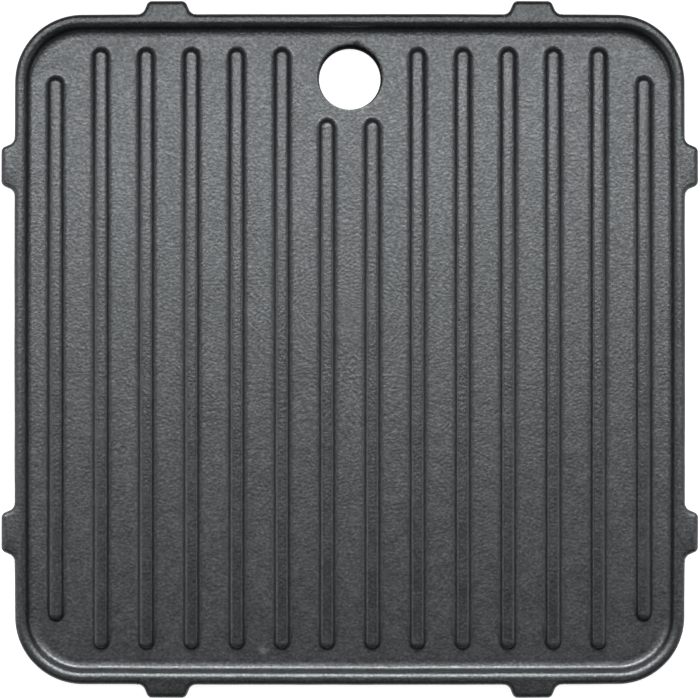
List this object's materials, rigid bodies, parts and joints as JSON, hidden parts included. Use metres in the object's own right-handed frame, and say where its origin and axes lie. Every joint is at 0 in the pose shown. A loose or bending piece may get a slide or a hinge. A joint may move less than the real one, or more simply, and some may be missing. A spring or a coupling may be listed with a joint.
{
  "type": "griddle plate",
  "caption": "Square cast-iron camp griddle plate with rounded corners, a raised rim, long cooking ribs, a lifting hole near one edge and short bearing lugs on every side.",
  "frame": {"origin": "middle of the flat underside", "axes": "+Z out of the ribbed cooking face, +Y towards the lifting hole, +X to the right with the hole at the top"},
  "size_m": [0.317, 0.317, 0.0105],
  "materials": {
    "cast_iron": "bare seasoned casting, semi-matt grey with a fine stippled skin, smoother on the crests"
  },
  "bodies": {
    "root": {"griddle_floor": "cast_iron", "rim": "cast_iron", "rib_1": "cast_iron", "rib_2": "cast_iron", "rib_3": "cast_iron", "rib_4": "cast_iron", "rib_5": "cast_iron", "rib_6": "cast_iron", "rib_7": "cast_iron", "rib_8": "cast_iron", "rib_9": "cast_iron", "rib_10": "cast_iron", "rib_11": "cast_iron", "rib_12": "cast_iron", "rib_13": "cast_iron", "rib_14": "cast_iron", "right_lug_1": "cast_iron", "right_lug_2": "cast_iron", "back_lug_1": "cast_iron", "back_lug_2": "cast_iron", "left_lug_1": "cast_iron", "left_lug_2": "cast_iron", "front_lug_1": "cast_iron", "front_lug_2": "cast_iron"}
  },
  "joints": []
}
